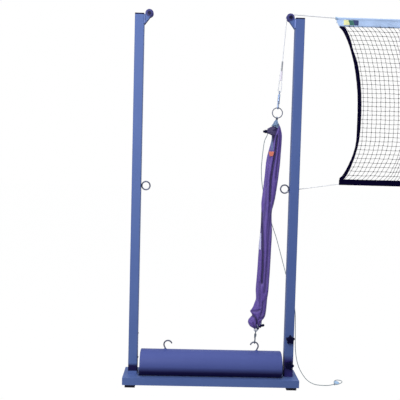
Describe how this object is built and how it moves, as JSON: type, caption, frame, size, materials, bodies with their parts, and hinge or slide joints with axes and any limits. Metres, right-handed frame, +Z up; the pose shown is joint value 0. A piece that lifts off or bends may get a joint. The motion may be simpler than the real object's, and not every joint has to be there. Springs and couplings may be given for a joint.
{
  "type": "badminton net post set",
  "caption": "Weighted double net post with pulleys, eyes and clamp knobs; a badminton net hangs from one upright, tensioned by a bagged elastic strainer.",
  "frame": {"origin": "on the floor under the centre of the ballasted base", "axes": "+Z up along the uprights, +Y from front to back across the net, +X along the net away from the base"},
  "size_m": [1.385, 0.13, 1.5656],
  "materials": {
    "blue_paint": "glossy powder coat",
    "foot_rubber": "matt",
    "concrete": "rough",
    "zinc_steel": "zinc plated",
    "black_steel": "black oxide",
    "black_plastic": "moulded",
    "net_twine": "knotted twine",
    "tape_fabric": "woven tape",
    "band_fabric": "woven tape",
    "cord_fabric": "braided",
    "whipping_fabric": "whipped twine",
    "lashing_fabric": "braided",
    "bag_fabric": "thin woven nylon",
    "strainer_rubber": "elastic cord",
    "drawcord_fabric": "braided"
  },
  "bodies": {
    "base": {"left_cross_foot": "blue_paint", "right_cross_foot": "blue_paint", "front_rail": "blue_paint", "rear_rail": "blue_paint", "foot_end_plates": "blue_paint", "rubber_feet": "foot_rubber", "left_spigot": "blue_paint", "right_spigot": "blue_paint", "drum_shell": "blue_paint", "drum_end_plates": "blue_paint", "drum_ballast": "concrete", "drum_saddles": "blue_paint", "hook_bosses": "blue_paint", "left_ballast_hook": "zinc_steel", "right_ballast_hook": "zinc_steel", "right_upright": "blue_paint", "right_top_cap": "black_plastic", "right_pulley_cheeks": "blue_paint", "right_pulley_bolt": "black_steel", "right_eye": "zinc_steel", "right_clamp_nuts": "black_steel", "net_mesh": "net_twine", "head_tape": "tape_fabric", "near_side_band": "band_fabric", "far_side_band": "band_fabric", "foot_band": "band_fabric", "head_cord": "cord_fabric", "foot_cord": "cord_fabric", "cord_sleeves": "whipping_fabric", "near_loop": "cord_fabric", "far_loops": "cord_fabric", "upper_snap_eye": "zinc_steel", "upper_snap_hook": "zinc_steel", "line_ring": "zinc_steel", "neck_lashing": "lashing_fabric", "bag": "bag_fabric", "strainer": "strainer_rubber", "cord_lock": "black_plastic", "drawcord": "drawcord_fabric", "drawcord_knot": "lashing_fabric", "lower_ring": "zinc_steel", "lower_snap_eye": "zinc_steel", "lower_snap_hook": "zinc_steel"},
    "left_post": {"left_upright": "blue_paint", "left_top_cap": "black_plastic", "left_pulley_cheeks": "blue_paint", "left_pulley_bolt": "black_steel", "left_eye": "zinc_steel", "left_clamp_nuts": "black_steel"},
    "left_pulley": {"left_pulley_wheel": "black_plastic"},
    "right_pulley": {"right_pulley_wheel": "black_plastic"},
    "left_upper_clamp": {"left_upper_knob": "black_plastic"},
    "left_lower_clamp": {"left_lower_knob": "black_plastic"},
    "right_upper_clamp": {"right_upper_knob": "black_plastic"},
    "right_lower_clamp": {"right_lower_knob": "black_plastic"},
    "upper_gate": {"upper_snap_gate": "zinc_steel"},
    "lower_gate": {"lower_snap_gate": "zinc_steel"},
    "lock_button": {"cord_lock_button": "black_plastic"}
  },
  "joints": [
    {"name": "left_post_lift", "type": "slide", "parent": "base", "child": "left_post", "axis": [0, 0, 1], "range_m": [0, 0.2]},
    {"name": "left_pulley_spin", "type": "hinge", "parent": "left_post", "child": "left_pulley", "pos_m": [-0.2915, 0, 1.548], "axis": [0, 1, 0], "continuous": true},
    {"name": "right_pulley_spin", "type": "hinge", "parent": "base", "child": "right_pulley", "pos_m": [0.2915, 0, 1.548], "axis": [0, 1, 0], "continuous": true},
    {"name": "left_upper_knob_turn", "type": "hinge", "parent": "left_post", "child": "left_upper_clamp", "pos_m": [-0.331, 0.03, 0.205], "axis": [0, 1, 0], "continuous": true},
    {"name": "left_lower_knob_turn", "type": "hinge", "parent": "left_post", "child": "left_lower_clamp", "pos_m": [-0.331, 0.03, 0.095], "axis": [0, 1, 0], "continuous": true},
    {"name": "right_upper_knob_turn", "type": "hinge", "parent": "base", "child": "right_upper_clamp", "pos_m": [0.331, -0.03, 0.205], "axis": [0, -1, 0], "continuous": true},
    {"name": "right_lower_knob_turn", "type": "hinge", "parent": "base", "child": "right_lower_clamp", "pos_m": [0.331, -0.03, 0.095], "axis": [0, -1, 0], "continuous": true},
    {"name": "upper_gate_open", "type": "hinge", "parent": "base", "child": "upper_gate", "pos_m": [0.25638, 0.0052, 1.19598], "axis": [-0.8641, 0.5, 0.0579], "range_deg": [0, 20], "stiffness_Nm_per_rad": 0.002},
    {"name": "lower_gate_open", "type": "hinge", "parent": "base", "child": "lower_gate", "pos_m": [0.1866, 0.006, 0.19981], "axis": [-0.9978, 0, 0.0669], "range_deg": [0, 20], "stiffness_Nm_per_rad": 0.002},
    {"name": "lock_button_press", "type": "slide", "parent": "base", "child": "lock_button", "axis": [1, 0, 0], "range_m": [0, 0.004], "stiffness_N_per_m": 200}
  ]
}
